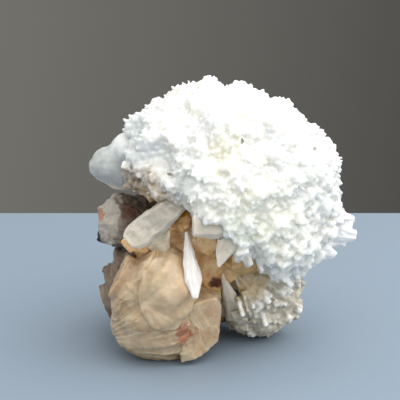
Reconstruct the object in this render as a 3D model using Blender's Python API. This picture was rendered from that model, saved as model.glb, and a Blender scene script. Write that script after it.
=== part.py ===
"""Scolecite on stilbite: a crystal specimen about 97 mm wide that rests on the floor plane.

A remnant of host rock carries a honey-brown stilbite mass. Leafy stilbite sheaves stand round
it, and a dome of scolecite crystals, radiating from one heart, caps it. Single scolecite blades
stick out of the dome and the sheaves. The front is -Y, right is +X and up is +Z.
All sizes below are in millimetres until MM turns them to metres.
"""
import math
import random

import bmesh
import bpy
from mathutils import Matrix, Vector, noise

MM = 0.001
GAP = 0.3
TURN = 2.0 * math.pi
UNLIMITED = 1000.0

# Crystal ends: how far a full one stands up, how much its top narrows and how far it slants.
# One that is broken off short stands up by the low share of a full one.
LOW_RISE = 0.12
RISES = (0.35, 1.0)
NARROWS = (0.62, 0.86)
SLANT = 0.5
CELL_INSET = 0.01

# The scolecite dome: ellipsoids that its crystal tips reach, each with its middle and radii.
DOME_LOBES = (
    ((4.5, 2.5, 62.5), (34.5, 36.5, 33.5)),
    ((-6.0, 3.0, 80.0), (18.0, 20.0, 19.0)),
    ((-20.0, 2.0, 76.0), (16.5, 22.0, 15.5)),
    ((-23.0, 0.0, 67.5), (14.5, 20.0, 13.0)),
    ((25.5, 3.0, 64.0), (19.0, 24.0, 19.5)),
    ((29.0, 2.0, 50.5), (16.0, 20.0, 16.5)),
    ((20.5, -2.0, 43.5), (19.0, 22.0, 20.0)),
)
DOME_BASES = (
    ((0.0, -0.10, -1.0), 5.5),
    ((-0.62, -0.15, -0.77), 20.8),
)
DOME_SKIN = dict(heart=(4.0, 3.0, 60.0), count=240, spike=4.2, seed=33, bases=DOME_BASES)

# The grey-white crystal ball at the lower right.
CRUST_LOBES = (
    ((15.0, 6.0, 17.5), (17.0, 17.0, 20.0)),
    ((21.0, 5.0, 20.0), (11.5, 14.0, 16.5)),
    ((9.0, 1.5, 18.0), (12.5, 15.0, 16.0)),
)
CRUST_SKIN = dict(heart=(7.0, 6.0, 27.0), count=75, spike=2.4, seed=21)
CRUST_SEAT_HEART = (17.0, 6.0, 18.0)

# The stilbite sheaves: leaves that fan out from a hinge line along Y at the given X and Z.
FRONT_LOBES = (
    ((-22.5, -14.5, 20.0), (17.5, 17.5, 20.0)),
    ((-19.0, -16.5, 28.5), (13.0, 17.0, 14.5)),
    ((-21.0, -13.5, 11.5), (21.0, 14.5, 12.0)),
)
FRONT_FAN = dict(hinge=(-50.0, 4.0), count=9, seed=11)
FRONT_SEAT_HEART = (-22.0, -15.0, 22.0)
SIDE_LOBES = (
    ((-32.0, 3.0, 19.0), (12.0, 13.0, 19.5)),
)
SIDE_FAN = dict(hinge=(-28.0, -16.0), count=6, seed=5)

# A leaf's rim: its points, how deep its scallops are, how short some leaves stay, and the share
# of a leaf's angle that is left as a groove at either side. A fan ends where it is this thin.
LEAF_POINTS = 22
LEAF_SCALLOP = 0.10
LEAF_WAVES = 1.3
LEAF_LENGTHS = (0.90, 1.0)
LEAF_GROOVE = 0.04
FAN_THIN = 3.0
FAN_STEP = 0.01

# The honey-brown stilbite mass and the host rock behind it.
BODY_LOBES = (
    ((-5.0, 4.0, 31.0), (30.0, 16.0, 27.0)),
    ((8.0, 4.0, 40.0), (21.0, 17.0, 18.0)),
)
BODY_SKIN = dict(heart=(-3.0, 3.0, 32.0), rough=0.10, seed=5.0)
ROCK_LOBES = (
    ((-36.0, 6.0, 44.5), (12.5, 12.0, 13.0)),
    ((-6.0, 22.0, 25.0), (33.0, 18.0, 31.0)),
)
ROCK_BREAKS = (
    ((0.05, 1.0, 0.12), 17.5),
    ((-0.75, 0.65, -0.1), 20.0),
    ((0.85, 0.5, 0.1), 31.0),
    ((-0.95, -0.1, 0.25), 34.0),
    ((-0.6, -0.2, -0.75), 24.5),
    ((0.55, 0.6, -0.6), 26.0),
    ((-0.2, 0.75, 0.65), 24.0),
)
ROCK_SKIN = dict(heart=(-16.0, 17.0, 30.0), rough=0.10, seed=3.0, breaks=ROCK_BREAKS)

# The uneven skin of a lump: how finely it is split and how close its dents stand.
LUMP_DETAIL = 3
LUMP_DENTS = 2.6

# Flat crystals: root, tip, the way the broad face looks, then width and thickness along it.
PADDLE = dict(root=(-6.5, -13.5, 62.5), tip=(-32.2, -24.5, 45.2), face=(-0.2, -1.0, 0.35),
              profile=((0.0, 8.0, 3.0), (0.45, 9.8, 3.2), (0.8, 10.2, 2.6), (0.94, 8.4, 2.0), (1.0, 4.8, 1.2)))
WEDGE = dict(root=(3.0, -24.5, 52.0), tip=(-10.0, -30.0, 52.6), face=(0.0, -1.0, 0.1),
             profile=((0.0, 10.5, 6.0), (0.5, 10.0, 5.0), (1.0, 7.4, 2.2)))
SPIKE = dict(root=(3.6, -24.5, 50.0), tip=(-1.6, -28.0, 37.6), face=(0.1, -1.0, 0.0),
             profile=((0.0, 10.5, 4.0), (0.5, 7.5, 3.0), (1.0, 1.0, 0.9)))
SPEAR = dict(root=(-12.6, -19.5, 47.4), tip=(-9.0, -30.5, 27.6), face=(0.25, -1.0, 0.35),
             profile=((0.0, 1.6, 1.2), (0.35, 4.6, 2.6), (0.72, 6.8, 3.0), (1.0, 2.0, 1.2)))
SPLINTER = dict(root=(-22.5, -17.0, 39.5), tip=(-18.0, -19.5, 48.4), face=(-0.1, -1.0, 0.2),
                profile=((0.0, 9.0, 3.0), (0.5, 5.2, 2.2), (1.0, 0.8, 0.8)))
NEEDLES = dict(root=(6.0, -5.5, 11.0), tip=(0.2, -13.5, 30.5), face=(-0.3, -1.0, 0.1),
               profile=((0.0, 9.0, 3.4), (0.5, 6.0, 2.8), (1.0, 0.8, 0.8)))
RIGHT_BLADES = (
    dict(root=(27.0, -4.0, 50.0), tip=(47.6, -1.0, 45.8), face=(0.0, -1.0, 0.2),
         profile=((0.0, 7.0, 3.6), (0.8, 7.4, 3.4), (1.0, 6.0, 2.4))),
    dict(root=(27.0, -6.0, 47.0), tip=(48.4, -2.5, 41.4), face=(0.0, -1.0, 0.3),
         profile=((0.0, 7.0, 3.4), (0.8, 6.4, 3.2), (1.0, 4.6, 2.2))),
    dict(root=(27.0, -5.0, 44.0), tip=(45.2, -1.5, 38.6), face=(0.0, -1.0, 0.1),
         profile=((0.0, 7.0, 3.4), (0.8, 6.6, 3.2), (1.0, 4.4, 2.2))),
    dict(root=(26.0, -8.0, 42.0), tip=(41.0, -5.0, 34.6), face=(0.1, -1.0, 0.2),
         profile=((0.0, 7.0, 3.4), (0.8, 6.4, 3.2), (1.0, 3.8, 2.0))),
)
HOLLOW_BLADES = (
    dict(root=(-12.0, -4.0, 52.0), tip=(-16.0, -17.5, 52.0), face=(0.0, -0.3, 1.0),
         profile=((0.0, 13.0, 8.0), (1.0, 11.0, 6.5))),
    dict(root=(-4.0, -4.0, 45.0), tip=(-6.0, -19.0, 43.0), face=(0.3, -0.2, 1.0),
         profile=((0.0, 11.0, 9.0), (1.0, 10.0, 7.5))),
    dict(root=(8.0, -4.0, 40.0), tip=(8.0, -17.0, 35.0), face=(-0.5, 0.0, 1.0),
         profile=((0.0, 12.0, 10.0), (1.0, 11.0, 8.5))),
    dict(root=(-26.0, -4.0, 42.0), tip=(-30.0, -16.0, 42.0), face=(0.0, -0.2, 1.0),
         profile=((0.0, 14.0, 7.0), (1.0, 12.0, 5.5))),
)

# The rounded knob at the left and the peach block right of the front sheaf.
KNOB_LOBES = (
    ((-36.5, 2.0, 66.5), (11.5, 10.0, 7.5)),
    ((-31.0, 3.0, 69.5), (10.0, 12.0, 9.8)),
    ((-34.0, 2.0, 64.5), (9.5, 10.0, 7.5)),
)
KNOB_SKIN = dict(heart=(-35.0, 2.0, 67.5), rough=0.04, seed=8.0)
BLOCK_CORNERS = (
    (-12.0, -24.0, 22.0), (-2.2, -21.5, 24.6), (-0.2, -18.0, 19.0), (-1.4, -19.5, 7.6),
    (-7.6, -23.5, 3.4), (-14.0, -24.0, 1.6), (-15.0, -12.0, 0.4), (-1.5, -8.0, 5.0),
    (-1.0, -6.0, 22.0), (-12.0, -6.0, 26.0),
)

# The knife edge of a flat crystal: its depth as a share of the crystal's thickness, and the
# share of the half width that stays flat where the crystal is too narrow for such an edge.
EDGE_DEPTH = 0.45
EDGE_NEEDS = 0.9
NARROW_FLAT = 0.5
SHARPEST_CORNER = 2.0

# The floor plane's block, and how close two corners are to count as one, in metres.
FLOOR_SIZE = (160.0, 160.0, 40.0)
SAME_CORNER = 0.000001


def material(name, colour, roughness):
    """A plain stone finish for one piece."""
    finish = bpy.data.materials.new(name)
    finish.use_nodes = True
    shader = finish.node_tree.nodes["Principled BSDF"]
    shader.inputs["Base Color"].default_value = (*colour, 1.0)
    shader.inputs["Roughness"].default_value = roughness
    shader.inputs["Metallic"].default_value = 0.0
    return finish


def piece(name, shape, finish):
    """Turns a shape in millimetres into a named object in metres."""
    bmesh.ops.triangulate(shape, faces=shape.faces[:])
    bmesh.ops.recalc_face_normals(shape, faces=shape.faces[:])
    shape.transform(Matrix.Scale(MM, 4))
    mesh = bpy.data.meshes.new(name)
    shape.to_mesh(mesh)
    shape.free()
    mesh.materials.append(finish)
    made = bpy.data.objects.new(name, mesh)
    bpy.context.scene.collection.objects.link(made)
    return made


def reach(lobes, start, direction):
    """How far a ray from start runs before it leaves the last of the ellipsoids."""
    farthest = 0.0
    for middle, radii in lobes:
        offset = Vector([(start[i] - middle[i]) / radii[i] for i in range(3)])
        step = Vector([direction[i] / radii[i] for i in range(3)])
        along = offset.dot(step)
        rest = along * along - step.dot(step) * (offset.dot(offset) - 1.0)
        if rest > 0.0:
            farthest = max(farthest, (math.sqrt(rest) - along) / step.dot(step))
    return farthest


def spread_directions(count, shake, seed):
    """Directions spread evenly over a sphere by the golden angle, then shaken a little."""
    chance = random.Random(seed)
    golden = math.pi * (3.0 - math.sqrt(5.0))
    directions = []
    for number in range(count):
        height = 1.0 - (2.0 * number + 1.0) / count
        ring = math.sqrt(1.0 - height * height)
        spot = Vector((ring * math.cos(golden * number), ring * math.sin(golden * number), height))
        spot += Vector([chance.uniform(-shake, shake) for _ in range(3)])
        directions.append(spot.normalized())
    return directions


def ring_order(vertex):
    """The faces round a vertex, in turning order."""
    side = vertex.co.orthogonal().normalized()
    across = vertex.co.cross(side).normalized()

    def turn(face):
        offset = face.calc_center_median() - vertex.co
        return math.atan2(offset.dot(across), offset.dot(side))

    return sorted(vertex.link_faces, key=turn)


def base_limit(bases, direction):
    """How far the broken underside, which is made of flat bases, lets a crystal run."""
    limits = [UNLIMITED if not bases else 0.0]
    for normal, depth in bases:
        lean = direction.dot(Vector(normal).normalized())
        limits.append(depth / lean if lean > 0.0 else UNLIMITED)
    return max(limits)


def crystal_skin(lobes, heart, count, spike, seed, bases=()):
    """A body whose skin is packed crystal ends, one raised and slanted cell for each crystal."""
    heart = Vector(heart)
    hull = bmesh.new()
    for direction in spread_directions(count, 0.5 / math.sqrt(count), seed):
        hull.verts.new(direction)
    bmesh.ops.convex_hull(hull, input=hull.verts[:])
    skin = bmesh.new()
    corners = {}
    for face in hull.faces:
        direction = face.calc_center_median().normalized()
        distance = min(reach(lobes, heart, direction), base_limit(bases, direction))
        corners[face] = skin.verts.new(heart + direction * (distance - spike))
    cells = [skin.faces.new([corners[face] for face in ring_order(vertex)]) for vertex in hull.verts]
    hull.free()
    chance = random.Random(seed + 1)
    for cell in cells:
        middle = cell.calc_center_median()
        out = (middle - heart).normalized()
        lean = Vector([chance.uniform(-SLANT, SLANT) for _ in range(3)])
        lean -= out * lean.dot(out)
        rise = spike * chance.uniform(*RISES)
        narrow = chance.uniform(*NARROWS)
        on_base = base_limit(bases, out) < reach(lobes, heart, out)
        bmesh.ops.inset_individual(skin, faces=[cell], thickness=CELL_INSET)
        for corner in cell.verts:
            offset = corner.co - middle
            lift = LOW_RISE * spike if on_base else rise + lean.dot(offset)
            corner.co = middle + offset * narrow + out * min(max(lift, LOW_RISE * spike), spike)
    return skin


def leaf_fan(lobes, hinge, count, seed):
    """A sheaf: leaves that spread from a hinge line along Y, each with its own scalloped rim."""
    hinge_x, hinge_z = hinge
    middle = Vector(lobes[0][0])
    away = Vector((middle.x - hinge_x, 0.0, middle.z - hinge_z))
    distance = away.length
    heading = math.atan2(away.z, away.x)
    along = Vector((0.0, 1.0, 0.0))

    def outward(angle):
        return Vector((math.cos(angle), 0.0, math.sin(angle)))

    def centre(angle):
        return Vector((hinge_x, middle.y, hinge_z)) + outward(angle) * distance

    def edge_of_fan(sign):
        spread = 0.0
        while reach(lobes, centre(heading + sign * spread), along) > FAN_THIN:
            spread += FAN_STEP
        return heading + sign * spread

    first = edge_of_fan(-1.0)
    last = edge_of_fan(1.0)
    chance = random.Random(seed)
    shape = bmesh.new()
    rings = []
    for leaf in range(count):
        low = first + (last - first) * (leaf + LEAF_GROOVE) / count
        high = first + (last - first) * (leaf + 1.0 - LEAF_GROOVE) / count
        half = 0.5 * (low + high)
        shrink = chance.uniform(*LEAF_LENGTHS)
        rim = []
        for point in range(LEAF_POINTS):
            angle = TURN * point / LEAF_POINTS
            direction = outward(half) * math.cos(angle) + along * math.sin(angle)
            spot = (LEAF_WAVES * math.cos(angle), LEAF_WAVES * math.sin(angle), 7.0 * leaf + seed)
            dent = LEAF_SCALLOP * max(0.5 + noise.noise(Vector(spot)), 0.0)
            length = reach(lobes, centre(half), direction) * (shrink - dent)
            rim.append((length * math.cos(angle), length * math.sin(angle)))
        for angle in (low, high):
            rings.append([shape.verts.new(centre(angle) + outward(angle) * out + along * side)
                          for out, side in rim])
    shape.faces.new(rings[0])
    shape.faces.new(rings[-1])
    for lower, upper in zip(rings, rings[1:]):
        for point in range(LEAF_POINTS):
            following = (point + 1) % LEAF_POINTS
            shape.faces.new((lower[point], lower[following], upper[following], upper[point]))
    return shape


def rock_lump(lobes, heart, rough=0.0, seed=0.0, grow=0.0, breaks=()):
    """A lump: the ellipsoids' outer form with an uneven skin, and flat where it broke."""
    shape = bmesh.new()
    bmesh.ops.create_icosphere(shape, subdivisions=LUMP_DETAIL, radius=1.0)
    heart = Vector(heart)
    for vertex in shape.verts:
        direction = vertex.co.normalized()
        distance = reach(lobes, heart, direction)
        distance *= 1.0 - rough * abs(noise.noise(direction * LUMP_DENTS + Vector((seed, 0.0, 0.0))))
        for normal, depth in breaks:
            lean = direction.dot(Vector(normal).normalized())
            if lean > 0.0:
                distance = min(distance, depth / lean)
        vertex.co = heart + direction * (distance + grow)
    return shape


def flat_crystal(root, tip, face, profile):
    """A bladed crystal: six-sided sections, with knife edges, set along the line to its tip."""
    root = Vector(root)
    length = Vector(tip) - root
    axis = length.normalized()
    broad = Vector(face)
    broad = (broad - axis * broad.dot(axis)).normalized()
    side = axis.cross(broad)
    shape = bmesh.new()
    rings = []
    for fraction, width, thickness in profile:
        half = 0.5 * width
        slab = 0.5 * thickness
        inner = NARROW_FLAT * half
        if half > EDGE_NEEDS * thickness:
            inner = half - EDGE_DEPTH * thickness
        outline = ((half, 0.0), (inner, slab), (-inner, slab), (-half, 0.0), (-inner, -slab), (inner, -slab))
        rings.append([shape.verts.new(root + length * fraction + side * across + broad * up)
                      for across, up in outline])
    shape.faces.new(rings[0])
    shape.faces.new(rings[-1])
    for lower, upper in zip(rings, rings[1:]):
        for point in range(6):
            following = (point + 1) % 6
            shape.faces.new((lower[point], lower[following], upper[following], upper[point]))
    return shape


def corner_block(corners, grow=0.0):
    """The solid whose corners are the given points, each moved out from the middle by grow."""
    middle = sum((Vector(corner) for corner in corners), Vector()) / len(corners)
    shape = bmesh.new()
    for corner in corners:
        offset = Vector(corner) - middle
        shape.verts.new(middle + offset + offset.normalized() * 2.0 * grow)
    bmesh.ops.convex_hull(shape, input=shape.verts[:])
    return shape


def floor_cutter():
    """Everything below the plane that the specimen rests on."""
    shape = bmesh.new()
    bmesh.ops.create_cube(shape, size=1.0)
    shape.transform(Matrix.Translation((0.0, 0.0, -0.5 * FLOOR_SIZE[2])) @ Matrix.Diagonal((*FLOOR_SIZE, 1.0)))
    return shape


def guide(name, shape):
    """A shape that only cuts others; it is never part of the specimen."""
    made = piece(name, shape, bpy.data.materials.new(name))
    made.hide_render = True
    made.display_type = 'WIRE'
    return made


def crystal_seat(crystal):
    """The room that a flat crystal takes in a neighbour: its own form, thicker all round by the gap."""
    shape = flat_crystal(**crystal)
    bmesh.ops.recalc_face_normals(shape, faces=shape.faces[:])
    moves = [(vertex, vertex.normal * min(vertex.calc_shell_factor(), SHARPEST_CORNER))
             for vertex in shape.verts]
    for vertex, move in moves:
        vertex.co += move * GAP
    return guide("crystal_seat", shape)


def combine(target, others, operation):
    """Cuts the others out of a piece, or joins them to it, and keeps the largest body left."""
    for other in others:
        modifier = target.modifiers.new(operation.lower(), 'BOOLEAN')
        modifier.operation = operation
        modifier.solver = 'EXACT'
        modifier.object = other
    graph = bpy.context.evaluated_depsgraph_get()
    result = bpy.data.meshes.new_from_object(target.evaluated_get(graph))
    target.modifiers.clear()
    target.data = result
    keep_largest_body(target)


def keep_largest_body(target):
    """Drops the loose chips that a cut leaves beside the main body."""
    shape = bmesh.new()
    shape.from_mesh(target.data)
    bmesh.ops.remove_doubles(shape, verts=shape.verts[:], dist=SAME_CORNER)
    unseen = set(shape.verts)
    bodies = []
    while unseen:
        body = [unseen.pop()]
        for vertex in body:
            for edge in vertex.link_edges:
                other = edge.other_vert(vertex)
                if other in unseen:
                    unseen.remove(other)
                    body.append(other)
        bodies.append(body)
    bodies.sort(key=len)
    for body in bodies[:-1]:
        bmesh.ops.delete(shape, geom=body, context='VERTS')
    bmesh.ops.triangulate(shape, faces=shape.faces[:])
    shape.to_mesh(target.data)
    shape.free()


def centre_on_floor(pieces):
    """Moves the specimen so that the origin is at the bottom centre of its box."""
    corners = [vertex.co for made in pieces for vertex in made.data.vertices]
    low = Vector([min(corner[i] for corner in corners) for i in range(3)])
    high = Vector([max(corner[i] for corner in corners) for i in range(3)])
    move = Matrix.Translation((-0.5 * (low.x + high.x), -0.5 * (low.y + high.y), -low.z))
    for made in pieces:
        made.data.transform(move)


for old in list(bpy.data.objects):
    bpy.data.objects.remove(old, do_unlink=True)

white = material("scolecite_white", (0.86, 0.87, 0.84), 0.35)
milky = material("scolecite_milky", (0.74, 0.73, 0.69), 0.35)
peach = material("stilbite_peach", (0.60, 0.44, 0.28), 0.45)
honey = material("stilbite_honey", (0.38, 0.22, 0.09), 0.40)
rock = material("host_rock", (0.30, 0.26, 0.22), 0.85)

floor = guide("floor_plane", floor_cutter())
body_seats = [guide("body_seat", rock_lump(BODY_LOBES, **BODY_SKIN, grow=1.5 * GAP))]
body_seats += [crystal_seat(blade) for blade in HOLLOW_BLADES]
rock_seat = guide("rock_seat", rock_lump(ROCK_LOBES, **ROCK_SKIN, grow=3.0 * GAP))
knob_seat = guide("knob_seat", rock_lump(KNOB_LOBES, **KNOB_SKIN, grow=1.5 * GAP))
crust_seat = guide("crust_seat", rock_lump(CRUST_LOBES, CRUST_SEAT_HEART, grow=3.0 * GAP))
front_seat = guide("front_seat", rock_lump(FRONT_LOBES, FRONT_SEAT_HEART, grow=4.0 * GAP))
block_seat = guide("block_seat", corner_block(BLOCK_CORNERS, GAP))
paddle_seat = crystal_seat(PADDLE)
wedge_seat = crystal_seat(WEDGE)
spike_seat = crystal_seat(SPIKE)
spear_seat = crystal_seat(SPEAR)
splinter_seat = crystal_seat(SPLINTER)
needles_seat = crystal_seat(NEEDLES)
right_seats = [crystal_seat(blade) for blade in RIGHT_BLADES]

host_rock = piece("host_rock", rock_lump(ROCK_LOBES, **ROCK_SKIN), rock)
combine(host_rock, [floor, crust_seat] + body_seats, 'DIFFERENCE')

body = piece("stilbite_body", rock_lump(BODY_LOBES, **BODY_SKIN), honey)
combine(body, [guide("hollow_blade", flat_crystal(**blade)) for blade in HOLLOW_BLADES], 'UNION')
combine(body, [floor, crust_seat, splinter_seat, needles_seat, spear_seat, paddle_seat], 'DIFFERENCE')

front = piece("stilbite_sheaf_front", leaf_fan(FRONT_LOBES, **FRONT_FAN), peach)
combine(front, [floor, block_seat, spear_seat, splinter_seat] + body_seats, 'DIFFERENCE')

side = piece("stilbite_sheaf_side", leaf_fan(SIDE_LOBES, **SIDE_FAN), peach)
combine(side, [floor, rock_seat, front_seat] + body_seats, 'DIFFERENCE')

block = piece("stilbite_block", corner_block(BLOCK_CORNERS), peach)
combine(block, [floor] + body_seats, 'DIFFERENCE')

paddle = piece("scolecite_paddle", flat_crystal(**PADDLE), milky)
wedge = piece("scolecite_wedge", flat_crystal(**WEDGE), milky)
spike = piece("scolecite_spike", flat_crystal(**SPIKE), milky)
combine(spike, [wedge_seat], 'DIFFERENCE')
spear = piece("scolecite_spear", flat_crystal(**SPEAR), white)
splinter = piece("scolecite_splinter", flat_crystal(**SPLINTER), white)
needles = piece("scolecite_needles", flat_crystal(**NEEDLES), milky)

right_blades = piece("scolecite_blades_right", flat_crystal(**RIGHT_BLADES[0]), white)
combine(right_blades, [guide("blade", flat_crystal(**blade)) for blade in RIGHT_BLADES[1:]], 'UNION')

knob = piece("scolecite_knob", rock_lump(KNOB_LOBES, **KNOB_SKIN), milky)
combine(knob, [rock_seat], 'DIFFERENCE')

crust = piece("scolecite_crust", crystal_skin(CRUST_LOBES, **CRUST_SKIN), white)
combine(crust, [floor, needles_seat, block_seat], 'DIFFERENCE')

dome = piece("scolecite_spray", crystal_skin(DOME_LOBES, **DOME_SKIN), white)
combine(dome, [rock_seat, crust_seat, knob_seat, paddle_seat, wedge_seat, spike_seat, spear_seat]
        + right_seats + body_seats, 'DIFFERENCE')

centre_on_floor([host_rock, body, front, side, block, paddle, wedge, spike, spear, splinter, needles,
                 right_blades, knob, crust, dome])
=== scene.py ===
import math
import random

import bmesh
import bpy
import numpy as np
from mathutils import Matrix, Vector, bvhtree, noise


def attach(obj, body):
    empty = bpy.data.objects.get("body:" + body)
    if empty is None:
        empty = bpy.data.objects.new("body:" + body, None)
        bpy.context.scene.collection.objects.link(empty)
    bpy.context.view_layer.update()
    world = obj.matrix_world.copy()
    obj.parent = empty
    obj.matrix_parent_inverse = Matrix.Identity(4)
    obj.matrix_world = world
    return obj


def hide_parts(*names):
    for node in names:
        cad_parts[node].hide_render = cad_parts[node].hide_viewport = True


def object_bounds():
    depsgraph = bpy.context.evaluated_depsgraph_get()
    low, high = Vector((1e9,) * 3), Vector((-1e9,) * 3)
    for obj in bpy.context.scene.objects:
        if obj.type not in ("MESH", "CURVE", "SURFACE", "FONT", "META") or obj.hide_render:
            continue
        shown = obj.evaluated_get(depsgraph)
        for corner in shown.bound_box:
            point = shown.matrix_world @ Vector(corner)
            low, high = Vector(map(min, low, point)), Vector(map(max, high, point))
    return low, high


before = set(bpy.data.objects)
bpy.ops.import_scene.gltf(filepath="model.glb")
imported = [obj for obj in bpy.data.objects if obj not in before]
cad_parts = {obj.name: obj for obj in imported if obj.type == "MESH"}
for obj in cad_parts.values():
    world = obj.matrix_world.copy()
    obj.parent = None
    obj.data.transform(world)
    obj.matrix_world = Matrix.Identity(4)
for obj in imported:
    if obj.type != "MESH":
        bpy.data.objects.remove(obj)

cad_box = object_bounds()


# Host rock
# A lump of weathered basalt, the wall of the cavity that the crystals grew on. It is grey-brown
# and pitted, with a chalky crust and a rust patch at its left end and a blue-black outer rim.

MM = 0.001
WELD = 0.0005
ROCK_VOXEL = 0.5
ROCK_WEAR = 2
ROCK_SINK = 0.3
ROCK_LUMPS = ((5.0, 1.3), (1.8, 0.7), (0.8, 0.25))
ROCK_DARK = (0.07, 0.052, 0.038)
ROCK_PALE = (0.24, 0.20, 0.155)
CHALK = (0.46, 0.425, 0.365)
RUST = (0.36, 0.13, 0.05)
RED_BROWN = (0.10, 0.035, 0.02)
BLUE_BLACK = (0.012, 0.016, 0.022)
MOSS_GREEN = (0.10, 0.12, 0.03)


def closed_copy(name, *nodes):
    """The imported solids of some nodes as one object, each solid's loose triangles joined."""
    shape = bmesh.new()
    for node in nodes:
        shape.from_mesh(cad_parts[node].data)
    bmesh.ops.remove_doubles(shape, verts=shape.verts[:], dist=WELD * MM)
    mesh = bpy.data.meshes.new(name)
    shape.to_mesh(mesh)
    shape.free()
    made = bpy.data.objects.new(name, mesh)
    bpy.context.scene.collection.objects.link(made)
    return made


def apply_modifiers(piece):
    """Turns a piece and its modifiers into a plain mesh."""
    graph = bpy.context.evaluated_depsgraph_get()
    mesh = bpy.data.meshes.new_from_object(piece.evaluated_get(graph))
    piece.modifiers.clear()
    piece.data = mesh


def fine_skin(piece, voxel, smoothing):
    """Gives a piece an even skin of small faces and rounds its edges a little."""
    remesh = piece.modifiers.new("voxels", 'REMESH')
    remesh.mode = 'VOXEL'
    remesh.voxel_size = voxel * MM
    if smoothing:
        worn = piece.modifiers.new("worn", 'SMOOTH')
        worn.factor = 0.5
        worn.iterations = smoothing
    apply_modifiers(piece)


def read_points(mesh):
    """The places and normals of a mesh's points, in millimetres."""
    count = len(mesh.vertices)
    places = np.empty(3 * count)
    normals = np.empty(3 * count)
    mesh.vertices.foreach_get("co", places)
    mesh.vertex_normals.foreach_get("vector", normals)
    return places.reshape(-1, 3) / MM, normals.reshape(-1, 3)


def write_points(mesh, places):
    """Puts a mesh's points in their new places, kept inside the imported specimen's box."""
    low, high = (np.array(corner) / MM for corner in cad_box)
    mesh.vertices.foreach_set("co", (np.clip(places, low, high) * MM).ravel())
    mesh.update()


def raise_skin(piece, relief):
    """Moves each point along its normal by what relief says, and keeps that as an attribute."""
    places, normals = read_points(piece.data)
    heights = np.array([relief(Vector(place), Vector(normal))
                        for place, normal in zip(places, normals)])
    write_points(piece.data, places + normals * heights[:, None])
    kept = piece.data.attributes.new("relief", 'FLOAT', 'POINT')
    kept.data.foreach_set("value", heights)


def lumps(place, sizes, seed=0.0):
    """Uneven relief: the sum of a few layers of noise, each with its lump size and its depth."""
    shift = Vector((seed, -seed, 0.5 * seed))
    return sum(depth * noise.noise(place / size + shift) for size, depth in sizes)


def add_node(tree, kind, values=None, **settings):
    """A node with its settings, its inputs set to values or joined to other nodes' outputs."""
    made = tree.nodes.new(kind)
    for name, setting in settings.items():
        setattr(made, name, setting)
    inputs = [socket for socket in made.inputs if socket.enabled]
    for key, value in (values or {}).items():
        socket = inputs[key] if isinstance(key, int) else next(s for s in inputs if s.name == key)
        if isinstance(value, bpy.types.NodeSocket):
            tree.links.new(value, socket)
        else:
            socket.default_value = value
    return made


def output(made, name=None):
    """A node's first output in use, or the one with a name."""
    return next(s for s in made.outputs if s.enabled and (name is None or s.name == name))


def maths(tree, operation, *values):
    """The outcome of one sum on values, in a node tree."""
    return output(add_node(tree, "ShaderNodeMath", dict(enumerate(values)), operation=operation))


def vectors(tree, operation, *values):
    """The outcome of one sum on vectors."""
    return output(add_node(tree, "ShaderNodeVectorMath", dict(enumerate(values)), operation=operation))


def scaled(tree, vector, factor):
    """A vector, made longer or shorter."""
    made = add_node(tree, "ShaderNodeVectorMath", {0: vector, "Scale": factor}, operation='SCALE')
    return output(made)


def object_place(tree):
    """Where a point lies on its piece, in metres."""
    return output(add_node(tree, "ShaderNodeTexCoord"), "Object")


def new_group(name, kind, inputs, outputs):
    """An empty node group with named sockets, and its input and output nodes."""
    group = bpy.data.node_groups.new(name, kind)
    for label, socket_type, default in inputs:
        socket = group.interface.new_socket(label, in_out='INPUT', socket_type=socket_type)
        if default is not None:
            socket.default_value = default
    for label, socket_type in outputs:
        group.interface.new_socket(label, in_out='OUTPUT', socket_type=socket_type)
    return group, group.nodes.new("NodeGroupInput"), group.nodes.new("NodeGroupOutput")


def patch_group():
    """Mask of one ragged patch on the surface, from its middle and its size; it marks stains and painted
    shade and light alike.
    """
    group, given, result = new_group(
        "patch", 'ShaderNodeTree',
        (("Centre", 'NodeSocketVector', None), ("Size", 'NodeSocketVector', None),
         ("Ragged", 'NodeSocketFloat', 0.5), ("Ragged Size", 'NodeSocketFloat', 2.0),
         ("Soft", 'NodeSocketFloat', 0.3)),
        (("Mask", 'NodeSocketFloat'),))
    ask = given.outputs
    place = scaled(group, object_place(group), 1.0 / MM)
    share = vectors(group, 'DIVIDE', vectors(group, 'SUBTRACT', place, ask["Centre"]), ask["Size"])
    distance = vectors(group, 'LENGTH', share)
    scale = maths(group, 'DIVIDE', 1.0, ask["Ragged Size"])
    edge = add_node(group, "ShaderNodeTexNoise", {"Vector": place, "Scale": scale, "Detail": 4.0})
    edge = maths(group, 'SUBTRACT', output(edge, "Fac"), 0.5)
    edge = maths(group, 'MULTIPLY_ADD', edge, ask["Ragged"], distance)
    inner = maths(group, 'SUBTRACT', 1.0, ask["Soft"])
    mask = add_node(group, "ShaderNodeMapRange", {"Value": edge, "From Min": inner, "From Max": 1.0,
                                                  "To Min": 1.0, "To Max": 0.0},
                    interpolation_type='SMOOTHSTEP')
    group.links.new(output(mask), result.inputs["Mask"])
    return group


def grain_group():
    """Mottling and fine relief, stretched along the way that a crystal grew."""
    group, given, result = new_group(
        "grain", 'ShaderNodeTree',
        (("Along", 'NodeSocketVector', None), ("Stretch", 'NodeSocketFloat', 1.0),
         ("Size", 'NodeSocketFloat', 1.0), ("Detail", 'NodeSocketFloat', 4.0)),
        (("Fac", 'NodeSocketFloat'),))
    ask = given.outputs
    place = object_place(group)
    run = vectors(group, 'DOT_PRODUCT', place, ask["Along"])
    squeeze = maths(group, 'SUBTRACT', maths(group, 'DIVIDE', 1.0, ask["Stretch"]), 1.0)
    shift = scaled(group, ask["Along"], maths(group, 'MULTIPLY', run, squeeze))
    scale = maths(group, 'DIVIDE', 1.0 / MM, ask["Size"])
    grain = add_node(group, "ShaderNodeTexNoise", {"Vector": vectors(group, 'ADD', place, shift),
                                                   "Scale": scale, "Detail": ask["Detail"],
                                                   "Roughness": 0.6})
    group.links.new(output(grain, "Fac"), result.inputs["Fac"])
    return group


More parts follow.
